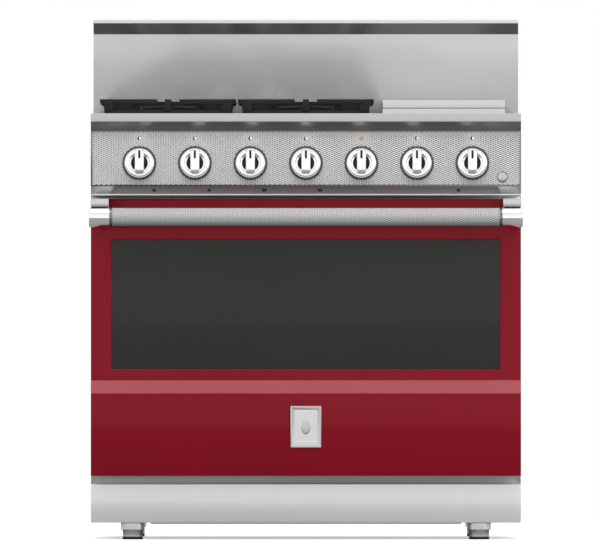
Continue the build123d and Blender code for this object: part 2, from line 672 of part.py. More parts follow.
def guide_z(level):
    return OVEN_RISE + GUIDE_FIRST + (level - 1) * GUIDE_PITCH


GUIDE_Y0 = OVEN_FRONT + RACK_FRONT_CLEAR
GUIDE_Y1 = BAFFLE_FACE - RACK_FRONT_CLEAR
RACK_Y1 = OVEN_BACK - RACK_BACK_CLEAR
RACK_HALF = OVEN_HALF - GUIDE_STANDOFF


def rack_guides():
    """Wire ladder on each side wall: three uprights and a wire at each level."""
    wire = GUIDE_WIRE_R
    low, high = guide_z(1) - 2 * wire, guide_z(GUIDE_LEVELS) + 2 * wire
    guides = []
    for side in SIDES:
        wall, run = side * (OVEN_HALF - wire), side * RACK_HALF
        posts = (GUIDE_Y0 + 4 * wire, (GUIDE_Y0 + GUIDE_Y1) / 2, GUIDE_Y1 - 4 * wire)
        pieces = [round_z(wire, low, high, wall, y) for y in posts]
        for level in range(1, GUIDE_LEVELS + 1):
            z = guide_z(level)
            pieces.append(round_y(wire, GUIDE_Y0, GUIDE_Y1, run, z))
            pieces += [round_x(wire, wall, run, y, z) for y in posts]
        guides.append(join(pieces))
    return guides


def oven_rack(level):
    """Wire rack lying on the guide wires of one level."""
    z = guide_z(level) + GUIDE_WIRE_R + RACK_FRAME_R + GAP
    frame, wire = RACK_FRAME_R, RACK_WIRE_R
    pieces = [round_y(frame, GUIDE_Y0, RACK_Y1, side * RACK_HALF, z) for side in SIDES]
    for y in (GUIDE_Y0, (GUIDE_Y0 + RACK_Y1) / 2, RACK_Y1):
        pieces.append(round_x(frame, -RACK_HALF, RACK_HALF, y, z))
    for y in (GUIDE_Y0, RACK_Y1):
        pieces += [Pos(side * RACK_HALF, y, z) * Sphere(frame) for side in SIDES]
    pitch = 2 * RACK_HALF / (RACK_WIRES + 1)
    for k in range(1, RACK_WIRES + 1):
        pieces.append(round_y(wire, GUIDE_Y0, RACK_Y1, -RACK_HALF + k * pitch, z + wire / 2))
    return [join(pieces)]


def bake_burner():
    """Tube burner under the cavity floor."""
    reach = OVEN_WIDTH / 4
    return [tube_loop(-reach, reach, OVEN_FRONT + reach / 2, OVEN_BACK - reach / 2,
                      OVEN_RISE - BAKE_DROP, OVEN_RISE - SHEET)]


def broil_burner():
    """Tube burner under the cavity roof."""
    reach = OVEN_WIDTH / 5
    return [tube_loop(-reach, reach, OVEN_FRONT + reach / 2, BAFFLE_FACE - reach / 2,
                      OVEN_TOP - BROIL_DROP, OVEN_TOP)]


def convection_baffle():
    """Cover over the fan, with an intake crossed by two bars."""
    reach = BAFFLE_SIZE / 2
    box = block(-reach, reach, BAFFLE_FACE, OVEN_BACK, OVEN_MIDDLE - reach, OVEN_MIDDLE + reach)
    box -= block(-reach + SHEET, reach - SHEET, BAFFLE_FACE + SHEET, OVEN_BACK,
                 OVEN_MIDDLE - reach + SHEET, OVEN_MIDDLE + reach - SHEET)
    box -= round_y(FAN_R - INTAKE_LIP, BAFFLE_FACE - CUT, BAFFLE_FACE + SHEET + CUT, 0, OVEN_MIDDLE)
    y0, y1, half = BAFFLE_FACE, BAFFLE_FACE + SHEET, INTAKE_BAR / 2
    bars = block(-FAN_R, FAN_R, y0, y1, OVEN_MIDDLE - half, OVEN_MIDDLE + half)
    bars += block(-half, half, y0, y1, OVEN_MIDDLE - FAN_R, OVEN_MIDDLE + FAN_R)
    return [box + bars]


FAN_BACK = OVEN_BACK - FAN_CLEAR


def fan_blade():
    """Radial fan on its shaft, which runs back into the motor."""
    z, front = OVEN_MIDDLE, FAN_BACK - FAN_BLADE_DEPTH
    pieces = [round_y(FAN_R, FAN_BACK - SHEET, FAN_BACK, 0, z), round_y(FAN_HUB_R, front, FAN_BACK, 0, z),
              round_y(FAN_SHAFT_R, front, OVEN_BACK + SHEET + MOTOR_LENGTH / 2, 0, z)]
    for k in range(FAN_BLADES):
        blade = block(FAN_HUB_R / 2, FAN_R - SHEET, front, FAN_BACK, -SHEET / 2, SHEET / 2)
        pieces.append(Pos(0, 0, z) * Rot(0, k * 360 / FAN_BLADES, 0) * blade)
    return [join(pieces)]


def fan_motor():
    """Motor on the back of the cavity, bored for the fan's shaft."""
    y0 = OVEN_BACK + SHEET
    body = round_y(MOTOR_R, y0, y0 + MOTOR_LENGTH, 0, OVEN_MIDDLE)
    bore_end = y0 + MOTOR_LENGTH / 2 + SHAFT_END_CLEAR
    return [body - round_y(FAN_SHAFT_R + RUNNING, y0 - CUT, bore_end, 0, OVEN_MIDDLE)]


# ---- door ----
def hinge_slots():
    """Clearance for the two hinge arms as the door swings down over them."""
    reach = HINGE_ARM / 2 + HINGE_SLOT_CLEAR
    rise = HINGE_ARM_HEIGHT / 2 + HINGE_SLOT_CLEAR
    slots = []
    for side in SIDES:
        x = side * HINGE_SPACING / 2
        slots.append(block(x - reach, x + reach, HINGE_Y - rise, DOOR_BACK + CUT,
                           DOOR_BOTTOM - CUT, HINGE_Z + rise))
    return slots


def door_skin():
    """Outer door: upper face, bevel and proud lower face, with a window opening."""
    t = DOOR_SHEET
    shoulder = STEP_Z - STEP_HEIGHT
    outline = [(DOOR_BACK, DOOR_BOTTOM), (DOOR_LOW_FACE, DOOR_BOTTOM), (DOOR_LOW_FACE, shoulder),
               (DOOR_FACE, STEP_Z), (DOOR_FACE, DOOR_TOP), (DOOR_BACK, DOOR_TOP)]
    inner = [(DOOR_BACK, DOOR_BOTTOM + t), (DOOR_LOW_FACE + t, DOOR_BOTTOM + t),
             (DOOR_LOW_FACE + t, shoulder), (DOOR_FACE + t, STEP_Z), (DOOR_FACE + t, DOOR_TOP - t),
             (DOOR_BACK, DOOR_TOP - t)]
    skin = section_x(outline, -HALF, HALF) - section_x(inner, -HALF + t, HALF - t)
    skin -= block(-WINDOW_WIDTH / 2, WINDOW_WIDTH / 2, DOOR_FACE - CUT, DOOR_FACE + 2 * t,
                  WINDOW_TOP - WINDOW_HEIGHT, WINDOW_TOP)
    for slot in hinge_slots():
        skin -= slot
    return [skin]


def pane(width, height, y0, thickness):
    return block(-width / 2, width / 2, y0, y0 + thickness,
                 WINDOW_MIDDLE - height / 2, WINDOW_MIDDLE + height / 2)


def door_window():
    """Outer glass, flush in the skin's opening."""
    return [pane(WINDOW_WIDTH - 2 * GAP, WINDOW_HEIGHT - 2 * GAP, DOOR_FACE, WINDOW_GLASS)]


def door_inner_panel():
    """Inner liner of the door, with the ears that turn on the hinge pins."""
    t = DOOR_SHEET
    panel = block(-HALF + t, HALF - t, DOOR_BACK - DOOR_LINER_SHEET, DOOR_BACK,
                  DOOR_BOTTOM + t, DOOR_TOP - t)
    panel -= pane(INNER_WINDOW_WIDTH, INNER_WINDOW_HEIGHT, DOOR_BACK - 2 * DOOR_LINER_SHEET,
                  3 * DOOR_LINER_SHEET)
    for slot in hinge_slots():
        panel -= slot
    offset = HINGE_ARM / 2 + HINGE_SLOT_CLEAR
    for side in SIDES:
        for ear_side in SIDES:
            x = side * HINGE_SPACING / 2 + ear_side * (offset + HINGE_EAR / 2)
            ear = block(x - HINGE_EAR / 2, x + HINGE_EAR / 2, HINGE_Y - 2 * HINGE_PIN_R, DOOR_BACK,
                        DOOR_BOTTOM + t, HINGE_Z + HINGE_EAR_RISE)
            ear -= round_x(HINGE_PIN_R + RUNNING, x - HINGE_EAR, x + HINGE_EAR, HINGE_Y, HINGE_Z)
            panel += ear
    return [panel]


def inner_glass():
    """Inner glass, against the front of the liner."""
    return [pane(INNER_WINDOW_WIDTH + 2 * GLASS_LAP, INNER_WINDOW_HEIGHT + 2 * GLASS_LAP,
                 DOOR_BACK - DOOR_LINER_SHEET - INNER_GLASS, INNER_GLASS)]


def door_hinges():
    """Two arms on the front frame, each with its cross pin."""
    reach, rise = HINGE_ARM / 2, HINGE_ARM_HEIGHT / 2
    arms = []
    for side in SIDES:
        x = side * HINGE_SPACING / 2
        arm = block(x - reach, x + reach, HINGE_Y, FRAME_FACE, HINGE_Z - rise, HINGE_Z + rise)
        arm += round_x(rise, x - reach, x + reach, HINGE_Y, HINGE_Z)
        arms.append(arm + round_x(HINGE_PIN_R, x - HINGE_PIN_LENGTH / 2, x + HINGE_PIN_LENGTH / 2,
                                  HINGE_Y, HINGE_Z))
    return arms


END_X = HALF + HANDLE_OVERHANG


def handle_tube():
    """Bar between the two handle ends."""
    reach = END_X - HANDLE_END_LENGTH
    return [round_x(HANDLE_R, -reach, reach, HANDLE_Y, HANDLE_Z)]


def handle_ends():
    """Chrome end of the bar, and the bracket that carries it from the door's face."""
    ends = []
    for side in SIDES:
        x1 = side * END_X
        end = round_x(HANDLE_END_R, x1 - side * HANDLE_END_LENGTH, x1, HANDLE_Y, HANDLE_Z)
        bracket_x = side * HALF
        low = HANDLE_Z + HANDLE_END_R - BRACKET_LAP
        bracket = block(bracket_x - side * BRACKET_WIDTH, bracket_x, HANDLE_Y - HANDLE_END_R / 2,
                        DOOR_FACE, low, DOOR_TOP)
        ends.append(end + bracket)
    return ends


def badge():
    """Plain rim with a thin plate inside it."""
    z = DOOR_BOTTOM + BADGE_RISE
    x, h = BADGE_WIDTH / 2, BADGE_HEIGHT / 2
    y0, y1 = DOOR_LOW_FACE - BADGE_THICKNESS, DOOR_LOW_FACE
    rim = block(-x, x, y0, y1, z - h, z + h)
    rim -= block(-x + BADGE_RIM, x - BADGE_RIM, y0, y1, z - h + BADGE_RIM, z + h - BADGE_RIM)
    edge = BADGE_RIM + GAP / 3
    plate = block(-x + edge, x - edge, DOOR_LOW_FACE - BADGE_PLATE, y1, z - h + edge, z + h - edge)
    return [rim, plate]


# ---- write every node ----
NODES = {
    "side_panels": side_panels(), "rear_panel": rear_panel(), "base_frame": base_frame(),
    "kick_panel": kick_panel(), "leg_sockets": leg_sockets(), "cooktop_pan": cooktop_pan(),
    "front_rail": front_rail(), "control_panel": control_panel(), "lower_trim": lower_trim(),
    "trim_screws": trim_screws(), "knob_bezels": knob_bezels(),
    "indicator_beads": [bead(x) for x in KNOB_X],
    "light_button": light_button(), "control_valves": control_valves(), "gas_manifold": gas_manifold(),
    "burner_bases": burner_bases(), "burner_heads": burner_heads(), "burner_caps": burner_caps(),
    "grate_left": grate(GRATE_CENTRES[0]), "grate_right": grate(GRATE_CENTRES[1]),
    "griddle_frame": griddle_frame(), "griddle_plate": griddle_plate(), "grease_tray": grease_tray(),
    "griddle_burner": griddle_burner(), "backguard": backguard(), "oven_liner": oven_liner(),
    "front_frame": front_frame(), "door_gasket": door_gasket(), "rack_guides": rack_guides(),
    "oven_rack_lower": oven_rack(RACK_LEVELS[0]), "oven_rack_upper": oven_rack(RACK_LEVELS[1]),
    "bake_burner": bake_burner(), "broil_burner": broil_burner(),
    "convection_baffle": convection_baffle(), "fan_blade": fan_blade(), "fan_motor": fan_motor(),
    "door_skin": door_skin(), "door_window": door_window(), "door_inner_panel": door_inner_panel(),
    "inner_glass": inner_glass(), "door_hinges": door_hinges(), "handle_tube": handle_tube(),
    "handle_ends": handle_ends(), "badge": badge(),
}
for end, y in zip(("front", "rear"), LEG_Y):
    for side, x in (("left", -LEG_X), ("right", LEG_X)):
        NODES[f"leg_{end}_{side}"] = leg(x, y)
for number, x in enumerate(KNOB_X, 1):
    NODES[f"knob_{number}"] = knob(x) if number in GAS_KNOBS else [join(knob(x) + [stem(x)])]
    if number in GAS_KNOBS:
        NODES[f"valve_stem_{number}"] = [stem(x)]

os.makedirs("parts", exist_ok=True)
for name, shapes in NODES.items():
    save(name, shapes)
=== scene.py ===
import json
import math

import bmesh
import bpy
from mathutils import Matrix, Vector


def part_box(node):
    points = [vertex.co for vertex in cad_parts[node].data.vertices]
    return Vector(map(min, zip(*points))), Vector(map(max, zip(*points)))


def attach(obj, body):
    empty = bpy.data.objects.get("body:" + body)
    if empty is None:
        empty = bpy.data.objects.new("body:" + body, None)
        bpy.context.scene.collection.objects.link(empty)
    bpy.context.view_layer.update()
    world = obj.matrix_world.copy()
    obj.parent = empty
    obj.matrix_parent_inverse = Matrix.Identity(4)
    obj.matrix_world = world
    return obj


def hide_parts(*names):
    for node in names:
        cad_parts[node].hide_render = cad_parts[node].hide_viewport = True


# Looks for a freestanding gas range. Metres, front is -Y, +Z up.
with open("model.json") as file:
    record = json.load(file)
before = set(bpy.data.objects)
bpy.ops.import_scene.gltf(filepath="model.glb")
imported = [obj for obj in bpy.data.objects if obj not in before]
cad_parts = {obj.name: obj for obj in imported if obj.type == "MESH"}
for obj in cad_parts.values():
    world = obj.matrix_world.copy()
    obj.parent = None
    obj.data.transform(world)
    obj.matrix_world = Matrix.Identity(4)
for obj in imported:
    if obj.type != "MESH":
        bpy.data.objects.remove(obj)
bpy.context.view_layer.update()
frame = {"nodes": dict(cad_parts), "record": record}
MM = 0.001
BODY_OF = {n: b for b, nodes in frame["record"]["behaviour"]["bodies"].items() for n in nodes}


# ---------------- shader expressions ----------------
class Wire:
    """A socket in a material's nodes that can be used in plain arithmetic."""

    def __init__(self, tree, socket):
        self.tree = tree
        self.socket = socket

    def maths(self, operation, *others):
        node = self.tree.nodes.new("ShaderNodeMath")
        node.operation = operation
        for place, value in zip(node.inputs, others):
            feed(self.tree, place, value)
        return Wire(self.tree, node.outputs[0])

    def __add__(self, other):
        return self.maths("ADD", self, other)

    def __radd__(self, other):
        return self.maths("ADD", other, self)

    def __sub__(self, other):
        return self.maths("SUBTRACT", self, other)

    def __rsub__(self, other):
        return self.maths("SUBTRACT", other, self)

    def __mul__(self, other):
        return self.maths("MULTIPLY", self, other)

    def __rmul__(self, other):
        return self.maths("MULTIPLY", other, self)

    def __gt__(self, other):
        return self.maths("GREATER_THAN", self, other)

    def __lt__(self, other):
        return self.maths("LESS_THAN", self, other)


def feed(tree, place, value):
    """Link a wire to a socket, or set the socket to a plain value."""
    if isinstance(value, Wire):
        tree.links.new(value.socket, place)
    else:
        place.default_value = value


class Finish:
    """A material under construction, with its one Principled shader."""

    def __init__(self, name, color, roughness, metallic=0.0, **constants):
        self.material = bpy.data.materials.new(name)
        self.material.use_nodes = True
        self.tree = self.material.node_tree
        self.shader = self.tree.nodes["Principled BSDF"]
        self.set("Base Color", (*color, 1))
        self.set("Roughness", roughness)
        self.set("Metallic", metallic)
        for socket, value in constants.items():
            self.set(socket.replace("_", " "), value)
        self.place = self.node("ShaderNodeTexCoord", out="Object")

    def set(self, socket, value):
        feed(self.tree, self.shader.inputs[socket], value)

    def node(self, kind, settings=None, out=0, **inputs):
        """Any node: its settings are set first, then its inputs; returns one of its outputs."""
        node = self.tree.nodes.new(kind)
        for key, value in (settings or {}).items():
            setattr(node, key, value)
        for key, value in inputs.items():
            feed(self.tree, node.inputs[key.replace("_", " ")], value)
        return Wire(self.tree, node.outputs[out])

    def stretched(self, x, y, z):
        """The piece's own coordinates, scaled along each axis."""
        return self.node("ShaderNodeMapping", Vector=self.place, Scale=(x, y, z))

    def noise(self, scale, detail=3.0, stretch=(1, 1, 1)):
        return self.node("ShaderNodeTexNoise", Vector=self.stretched(*stretch), Scale=scale,
                         Detail=detail)

    def mix(self, share, low, high):
        node = self.tree.nodes.new("ShaderNodeMix")
        node.data_type = "RGBA"
        feed(self.tree, node.inputs[0], share)
        feed(self.tree, node.inputs[6], low)
        feed(self.tree, node.inputs[7], high)
        return Wire(self.tree, node.outputs[2])

    def bump(self, height, strength, distance):
        self.set("Normal", self.node("ShaderNodeBump", Height=height, Strength=strength,
                                     Distance=distance))

    def facing(self, axis):
        """How far a face looks along one axis, from -1 to 1."""
        normal = self.node("ShaderNodeNewGeometry", out="Normal")
        return self.node("ShaderNodeSeparateXYZ", out=axis, Vector=normal)


# How a grain is stretched: long along one axis, or the same all ways.
ALONG_X = (1.2, 700.0, 700.0)
ALONG_Z = (500.0, 500.0, 1.4)
ALL_WAYS = (30.0, 30.0, 30.0)


def grey(level):
    """A grey with a trace of blue."""
    return (level, level, level * 1.01)


def steel(name, level, roughness, grain, wear=0.08, metallic=1.0):
    """Sheet steel: long fine brush lines, slow cloudy change and faint smudges."""
    f = Finish(name, grey(level), roughness, metallic=metallic)
    lines = f.noise(1.0, 4.0, grain)
    cloud = f.noise(2.3, 2.0)
    tone = lines * 0.55 + cloud * 0.45
    f.set("Base Color", f.mix(tone, (*grey(level * (1 - wear)), 1), (*grey(level * (1 + wear)), 1)))
    f.set("Roughness", roughness - 0.06 + 0.12 * lines + 0.08 * (cloud - 0.5))
    f.bump(lines, 0.05, 0.0002)
    return f


def shaded_steel(name, level, roughness, grain, under, metallic=1.0):
    """Brushed steel with painted shade on its slanted underside: faces that look down take a darker
    grey.
    """
    f = steel(name, level, roughness, grain, metallic=metallic)
    lines = f.noise(1.0, 4.0, grain)
    # Painted shade: faces that look down, but not to the back, take the darker grey below.
    down = (f.facing(2) < -0.35) * (f.facing(1) < 0.2)
    plain = f.mix(lines, (*grey(level * 0.92), 1), (*grey(level * 1.08), 1))
    dark = f.mix(lines, (*grey(under * 0.9), 1), (*grey(under * 1.1), 1))
    f.set("Base Color", f.mix(down, plain, dark))
    return f


def round_steel(name, level, roughness):
    """Steel for a round bar with painted shade: its colour darkens towards the top and bottom, where the
    bar turns away.
    """
    f = steel(name, level, roughness, ALL_WAYS)
    # Painted shade: the base colour darkens as the face turns up or down.
    up = f.facing(2)
    f.set("Base Color", f.mix(up * up, (*grey(level), 1), (*grey(level * 0.3), 1)))
    return f


def chrome():
    """Bright plated metal with a faint haze."""
    f = Finish("bright_chrome", grey(0.9), 0.06, metallic=1.0)
    haze = f.noise(60.0)
    f.set("Roughness", 0.04 + 0.07 * haze)
    f.set("Base Color", f.mix(haze, (*grey(0.864), 1), (*grey(0.9), 1)))
    f.bump(haze, 0.02, 0.0001)
    return f


def enamel(name, color, roughness=0.3, coat=0.16):
    """Sprayed enamel: slight colour drift, orange peel, a clear coat, and a painted sheen that makes
    faces sloping up paler.
    """
    f = Finish(name, color, roughness, Coat_Roughness=0.08, Specular_IOR_Level=0.05)
    drift = f.noise(3.0, 2.0)
    low = tuple(0.93 * c for c in color)
    high = tuple(1.07 * c for c in color)
    plain = f.mix(drift, (*low, 1), (*high, 1))
    # Painted sheen: faces that slope up, short of flat tops, take a paler colour.
    up = f.facing(2)
    sheen = (up > 0.3) * (up < 0.9)
    f.set("Base Color", f.mix(sheen, plain, (*(0.08 + 1.35 * c for c in color), 1)))
    f.set("Coat Weight", coat * (1.2 - 0.4 * drift))
    f.bump(f.noise(420.0, 2.0), 0.04, 0.0002)
    return f


def cast_iron():
    """Black casting: coarse grain, patches worn a little paler."""
    f = Finish("cast_iron", grey(0.014), 0.6, Specular_IOR_Level=0.22)
    grain = f.noise(900.0, 4.0)
    worn = f.noise(14.0, 4.0)
    f.set("Base Color", f.mix(worn, (0.008, 0.008, 0.008, 1), (0.02, 0.02, 0.02, 1)))
    f.set("Roughness", 0.42 + 0.3 * grain)
    f.bump(grain, 0.35, 0.0006)
    return f


def speckled_enamel():
    """Dark blue-black oven enamel with small pale specks."""
    f = Finish("oven_enamel", (0.015, 0.017, 0.026), 0.35)
    flecks = f.node("ShaderNodeTexVoronoi", Vector=f.place, Scale=170.0)
    speck = flecks < 0.16
    f.set("Base Color", f.mix(speck, (0.014, 0.016, 0.026, 1), (0.25, 0.27, 0.3, 1)))
    f.set("Roughness", 0.25 + 0.25 * f.noise(30.0))
    f.bump(f.noise(300.0), 0.08, 0.0003)
    return f


def brass():
    """Brass with faint lines round it from the lathe."""
    f = Finish("machined_brass", (0.72, 0.5, 0.2), 0.3, metallic=1.0)
    rings = f.noise(180.0, 2.0, (1, 1, 6))
    f.set("Base Color", f.mix(rings, (0.55, 0.36, 0.13, 1), (0.78, 0.56, 0.25, 1)))
    f.set("Roughness", 0.22 + 0.25 * rings)
    return f


def rubber():
    f = Finish("pad_rubber", grey(0.015), 0.75)
    grain = f.noise(500.0)
    f.set("Base Color", f.mix(grain, (0.01, 0.01, 0.01, 1), (0.03, 0.03, 0.03, 1)))
    f.bump(grain, 0.3, 0.0004)
    return f


def woven_seal():
    f = Finish("woven_seal", grey(0.06), 0.9)
    strands = (f.noise(1.0, 1.0, (900, 900, 900)) + 1.0) * 0.5
    f.set("Base Color", f.mix(strands, (0.03, 0.03, 0.03, 1), (0.12, 0.12, 0.11, 1)))
    f.bump(strands, 0.6, 0.001)
    return f


def dark_glass():
    """Tinted window glass: near black, with a clean gloss and a faint haze."""
    f = Finish("window_glass", (0.036, 0.036, 0.034), 0.12, Specular_IOR_Level=0.12)
    haze = f.noise(5.0, 3.0)
    f.set("Base Color", f.mix(haze, (0.034, 0.034, 0.033, 1), (0.042, 0.042, 0.04, 1)))
    f.set("Roughness", 0.1 + 0.1 * haze)
    return f


def half_lit_chrome():
    """Bright bead with a painted reflection: faces that look left are coloured near black, for a dark
    room mirrored there.
    """
    f = Finish("half_lit_chrome", grey(0.9), 0.08, metallic=1.0)
    # Painted reflection: the left side's colour is near black, the rest bright.
    bright = f.facing(0) > -0.12
    f.set("Base Color", f.mix(bright, (*grey(0.01), 1), (*grey(0.95), 1)))
    return f


def lamp(name, color):
    f = Finish(name, color, 0.15, Coat_Weight=0.8)
    f.set("Base Color", f.mix(f.noise(300.0), (*color, 1), (*(min(1, c * 1.3) for c in color), 1)))
    return f


def black_enamel():
    f = Finish("black_enamel", grey(0.006), 0.25, Coat_Weight=0.1, Specular_IOR_Level=0.15)
    f.set("Roughness", 0.2 + 0.2 * f.noise(50.0))
    return f


FINISHES = {
    "rail": shaded_steel("brushed_rail", 0.5, 0.34, ALONG_X, 0.27),
    "trim": shaded_steel("brushed_trim", 0.95, 0.34, ALONG_X, 0.6),
    "guard": shaded_steel("brushed_guard", 0.66, 0.2, ALONG_X, 0.12, 0.35),
    "kick": steel("brushed_kick", 0.82, 0.24, ALONG_X, 0.03, 0.3),
    "side": steel("side_steel", 0.5, 0.38, ALONG_Z),
    # The bumps and the ground between them are one steel: the darker ground is painted shade between the
    # bumps.
    "bump": steel("embossed_steel", 0.64, 0.26, ALL_WAYS),
    "ground": steel("embossed_shade_between_bumps", 0.2, 0.34, ALL_WAYS),
    "bar": round_steel("embossed_bar", 0.6, 0.34),
    "zinc": steel("zinc_sheet", 0.4, 0.5, ALL_WAYS, 0.2),
    "satin": steel("satin_steel", 0.6, 0.3, ALONG_X),
    "plate": steel("griddle_steel", 0.55, 0.28, ALONG_X),
    "turned": steel("turned_steel", 0.72, 0.28, (20, 20, 900)),
    "chrome": chrome(),
    "enamel": enamel("burgundy_enamel", (0.26, 0.0045, 0.0165)),
    "iron": cast_iron(),
    "oven": speckled_enamel(),
    "brass": brass(),
    "rubber": rubber(),
    "seal": woven_seal(),
    "glass": dark_glass(),
    "black": black_enamel(),
    "bead": half_lit_chrome(),
    # The dark scalloped ring is partly the ring's own dark finish and partly painted shade round each
    # knob.
    "ring": steel("scalloped_steel", 0.1, 0.4, ALL_WAYS),
    "white": enamel("white_plate", (0.82, 0.82, 0.82)),
    "amber": lamp("amber_lens", (0.75, 0.22, 0.05)),
    "pipe": enamel("black_pipe", (0.02, 0.02, 0.02), 0.5, 0.2),
}


# ---------------- modelling steps ----------------
def clear():
    bpy.ops.object.select_all(action="DESELECT")


def pick(*pieces):
    """Select only these pieces, the last of them active."""
    clear()
    for piece in pieces:
        piece.select_set(True)
    bpy.context.view_layer.objects.active = pieces[-1]


def settle(piece):
    """Bake the piece's place into its mesh."""
    pick(piece)
    bpy.ops.object.transform_apply(location=True, rotation=True, scale=True)
    return piece


def modify(piece, kind, **settings):
    """Add one modifier and apply it."""
    pick(piece)
    step = piece.modifiers.new(kind.title(), kind)
    for key, value in settings.items():
        setattr(step, key, value)
    bpy.ops.object.modifier_apply(modifier=step.name)
    return piece


def smooth(piece, angle):
    """Shade smooth across edges that turn by less than an angle in degrees."""
    pick(piece)
    bpy.ops.object.shade_smooth_by_angle(angle=math.radians(angle))
    return piece


def rounded(piece, width, segments=2):
    """Round the edges that turn by more than 30 degrees, by a width in mm."""
    modify(piece, "BEVEL", width=width * MM, segments=segments, limit_method="ANGLE",
           angle_limit=math.radians(30), harden_normals=False)
    return smooth(piece, 40)


def repeated(piece, count, step):
    """A row of joined copies, each a step in metres from the last."""
    return modify(piece, "ARRAY", count=count, use_relative_offset=False, use_constant_offset=True,
                  constant_offset_displace=step)


def edit(piece, *steps):
    """Run edit-mode steps on a piece that starts all selected."""
    pick(piece)
    bpy.ops.object.mode_set(mode="EDIT")
    bpy.ops.mesh.select_all(action="SELECT")
    for step in steps:
        step()
    bpy.ops.object.mode_set(mode="OBJECT")
    return piece


def outward():
    """Step: close the seams and turn every face outwards."""
    bpy.ops.mesh.select_all(action="SELECT")
    bpy.ops.mesh.remove_doubles(threshold=1e-6)
    bpy.ops.mesh.normals_make_consistent(inside=False)


def drawn_in(x, y, centre=(0, 0, 0)):
    """Step: scale what is selected along X and Y."""
    return lambda: bpy.ops.transform.resize(value=(x, y, 1), center_override=centre)


def top_only():
    """Step: leave only the faces that look straight up selected."""
    data = bpy.context.object.data
    mesh = bmesh.from_edit_mesh(data)
    for face in mesh.faces:
        face.select = face.normal.z > 0.9
    bmesh.update_edit_mesh(data)


def inset(thickness, depth=0.0):
    """Step: a smaller copy of the selected faces inside them, raised by a depth, in mm."""
    return lambda: bpy.ops.mesh.inset(thickness=thickness * MM, depth=depth * MM)


def each_point(change):
    """Step: give each vertex to a function that moves it or picks it."""
    def step():
        data = bpy.context.object.data
        mesh = bmesh.from_edit_mesh(data)
        for vertex in mesh.verts:
            change(vertex)
        bmesh.update_edit_mesh(data)
    return step


NOTCHES = 24


def notched(piece, on_notch, share):
    """Draw in a round piece's rim where on_notch(radius, height, wave) holds, in mm."""
    def choose(vertex):
        wave = math.cos(NOTCHES * math.atan2(vertex.co.y, vertex.co.x))
        vertex.select = on_notch(vertex.co.xy.length / MM, vertex.co.z / MM, wave)

    return edit(piece, each_point(choose), drawn_in(share, share))


def painted(piece, *materials):
    piece.data.materials.clear()
    for material in materials:
        piece.data.materials.append(FINISHES[material].material)
    return piece


def joined(name, pieces):
    """Several pieces made one, in place of the last of them."""
    pick(*pieces)
    bpy.ops.object.join()
    piece = bpy.context.object
    piece.name = name
    return piece


def block(name, low, high, width=0.0, top=(1, 1), material="chrome", segments=2):
    """A bar between two corners in mm, its top face drawn in, its edges rounded."""
    low, high = Vector(low) * MM, Vector(high) * MM
    clear()
    bpy.ops.mesh.primitive_cube_add(size=1, location=(low + high) / 2)
    piece = bpy.context.object
    piece.name = name
    piece.scale = high - low
    settle(piece)
    if top != (1, 1):
        middle = ((low + high) / 2).xy.to_3d() + Vector((0, 0, high.z))
        edit(piece, top_only, drawn_in(*top, middle))
    if width:
        rounded(piece, width, segments)
    return painted(piece, material)


def turned(name, profile, steps=48, material="chrome", angle=35):
    """A round piece about Z, drawn out ring by ring from (radius, height) pairs in mm."""
    clear()
    r0, h0 = profile[0]
    bpy.ops.mesh.primitive_circle_add(vertices=steps, radius=r0 * MM, fill_type="NGON",
                                      location=(0, 0, h0 * MM))
    piece = bpy.context.object
    piece.name = name
    settle(piece)

    def rings():
        for (ra, ha), (rb, hb) in zip(profile, profile[1:]):
            bpy.ops.mesh.extrude_region_move(TRANSFORM_OT_translate={"value": (0, 0, (hb - ha) * MM)})
            drawn_in(rb / ra, rb / ra, (0, 0, hb * MM))()

    edit(piece, rings, outward)
    return painted(smooth(piece, angle), material)


def facing_front(piece, x, y, z):
    """Lay a piece made about Z so that its top looks to the front, at a place in mm."""
    piece.rotation_euler = (math.pi / 2, 0, 0)
    piece.location = Vector((x, y, z)) * MM
    return settle(piece)


def copy_at(source, name, x, y, z):
    """A copy with its own mesh, moved by millimetres."""
    piece = source.copy()
    piece.data = source.data.copy()
    piece.name = name
    bpy.context.scene.collection.objects.link(piece)
    piece.location = Vector((x, y, z)) * MM
    return settle(piece)


def added(piece, node):
    """The piece rides with a CAD node that stays shown or is replaced elsewhere."""
    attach(piece, BODY_OF[node])
    return piece


def fitted(piece, node):
    """The piece rides where its CAD node does and stands for it."""
    added(piece, node)
    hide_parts(node)
    return piece


def softened(node, width, material):
    """A copy of a CAD node with its folds and edges rounded over."""
    piece = frame["nodes"][node].copy()
    piece.data = piece.data.copy()
    piece.parent = None
    for key in list(piece.keys()):
        del piece[key]
    piece.name = node + "_formed"
    bpy.context.scene.collection.objects.link(piece)
    edit(piece, lambda: bpy.ops.mesh.remove_doubles(threshold=1e-6),
         lambda: bpy.ops.mesh.dissolve_limited(angle_limit=math.radians(0.5)))
    rounded(piece, width)
    return fitted(painted(piece, material), node)


def low_high(node):
    """A CAD node's corners in mm."""
    low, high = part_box(node)
    return low / MM, high / MM


# ---------------- places read from the frame ----------------
PANEL_LOW, PANEL_HIGH = low_high("control_panel")
PANEL_FACE = PANEL_LOW.y
KNOBS = [low_high(f"knob_{k}") for k in range(1, 8)]
KNOB_Z = (KNOBS[0][0].z + KNOBS[0][1].z) / 2
KNOB_X = [(low.x + high.x) / 2 for low, high in KNOBS]
KNOB_BACK = KNOBS[0][1].y


